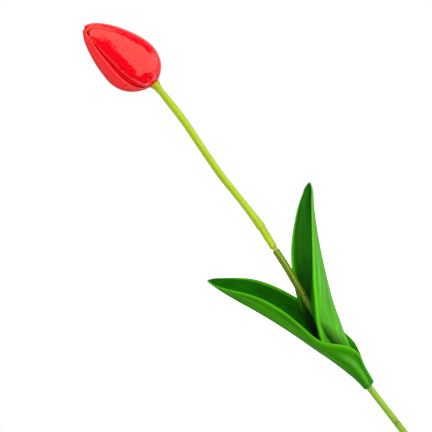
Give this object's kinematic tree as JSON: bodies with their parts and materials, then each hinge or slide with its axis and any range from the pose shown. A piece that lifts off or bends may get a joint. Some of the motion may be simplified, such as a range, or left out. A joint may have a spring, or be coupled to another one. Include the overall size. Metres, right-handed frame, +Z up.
{
  "type": "artificial_tulip",
  "caption": "A single artificial tulip: a glossy red closed bud on a bendable green wire stem, with two moulded leaves wrapped round the stem.",
  "frame": {"origin": "Centre of the cut foot of the stem, where every layer of the stem ends flush.", "axes": "+Z up the straight lower stem towards the bud, +X towards the side of the tall leaf, -Y towards the viewer of the picture."},
  "size_m": [0.0901, 0.0445, 0.3414],
  "materials": {
    "stem_green": "satin moulded, fine lengthwise streaks",
    "stem_olive": "satin moulded, darker along the slit",
    "stem_lime": "satin moulded, fine lengthwise streaks",
    "wire_steel": "drawn wire",
    "coating_green": "smooth extruded",
    "leaf_green": "satin moulded, parallel veins",
    "leaf_green_light": "satin moulded, parallel veins",
    "core_foam": "closed foam",
    "petal_inner": "gloss, in shade",
    "petal_red": "smooth high gloss"
  },
  "bodies": {
    "foot": {"stem_foot": "stem_green", "core_wire": "wire_steel", "wire_coating": "coating_green"},
    "stalk": {"stem_lower": "stem_green", "stem_middle": "stem_olive"},
    "low_leaf_body": {"low_leaf": "leaf_green"},
    "tall_leaf_body": {"tall_leaf": "leaf_green_light"},
    "flower": {"stem_upper": "stem_lime", "bud_core": "core_foam", "inner_petal_1": "petal_inner", "inner_petal_2": "petal_inner", "inner_petal_3": "petal_inner", "outer_petal_front": "petal_red", "outer_petal_left": "petal_red", "outer_petal_right": "petal_red"}
  },
  "joints": [
    {"name": "lower_bend", "type": "hinge", "parent": "foot", "child": "stalk", "pos_m": [0, 0, 0.0288], "axis": [1, 0, 0], "range_deg": [-15, 15], "deforming": ["core_wire", "wire_coating"]},
    {"name": "leaf_turn", "type": "hinge", "parent": "stalk", "child": "low_leaf_body", "pos_m": [0, 0, 0.057], "axis": [0, 0, 1], "continuous": true},
    {"name": "tall_leaf_slide", "type": "slide", "parent": "low_leaf_body", "child": "tall_leaf_body", "axis": [0, 0, 1], "range_m": [0, 0.012]},
    {"name": "upper_bend", "type": "hinge", "parent": "stalk", "child": "flower", "pos_m": [0.006, 0, 0.16], "axis": [0, 1, 0], "range_deg": [-40, 40], "deforming": ["core_wire", "wire_coating"]}
  ]
}
